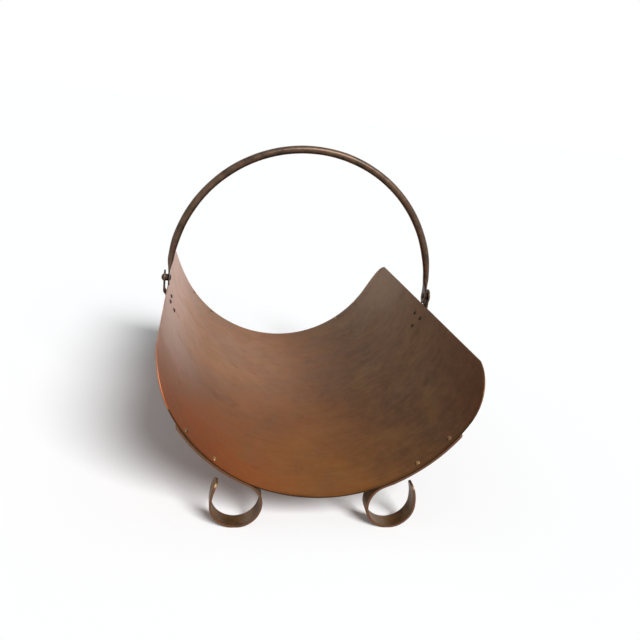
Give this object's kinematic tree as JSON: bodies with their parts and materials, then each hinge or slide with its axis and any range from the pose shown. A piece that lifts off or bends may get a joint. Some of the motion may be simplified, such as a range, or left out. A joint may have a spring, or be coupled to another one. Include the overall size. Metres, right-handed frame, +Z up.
{
  "type": "log holder",
  "caption": "Sheet metal log trough on curled strap feet, with a round bail handle that swings on two riveted ears.",
  "frame": {"origin": "on the floor under the middle of the trough", "axes": "+X across the trough to its right wall, +Y along the trough to its rear end, +Z up"},
  "size_m": [0.3734, 0.508, 0.3897],
  "materials": {
    "sheet_copper": "aged, satin",
    "strap_copper": "aged, dark",
    "rod_copper": "aged, dark, worn at the top",
    "rivet_copper": "aged"
  },
  "bodies": {
    "holder": {"trough_sheet": "sheet_copper", "bail_ear_left": "strap_copper", "pivot_pin_left": "rivet_copper", "pivot_spacer_left": "rivet_copper", "ear_rivet_left_front": "rivet_copper", "ear_rivet_left_rear": "rivet_copper", "ear_rivet_left_lower": "rivet_copper", "foot_front_left": "strap_copper", "foot_rivet_front_left_inner": "rivet_copper", "foot_rivet_front_left_outer": "rivet_copper", "foot_rear_left": "strap_copper", "foot_rivet_rear_left_inner": "rivet_copper", "foot_rivet_rear_left_outer": "rivet_copper", "bail_ear_right": "strap_copper", "pivot_pin_right": "rivet_copper", "pivot_spacer_right": "rivet_copper", "ear_rivet_right_front": "rivet_copper", "ear_rivet_right_rear": "rivet_copper", "ear_rivet_right_lower": "rivet_copper", "foot_front_right": "strap_copper", "foot_rivet_front_right_inner": "rivet_copper", "foot_rivet_front_right_outer": "rivet_copper", "foot_rear_right": "strap_copper", "foot_rivet_rear_right_inner": "rivet_copper", "foot_rivet_rear_right_outer": "rivet_copper"},
    "bail": {"bail_handle": "rod_copper"}
  },
  "joints": [
    {"name": "bail_swing", "type": "hinge", "parent": "holder", "child": "bail", "pos_m": [0, 0, 0.20181], "axis": [1, 0, 0], "range_deg": [-101, 101]}
  ]
}
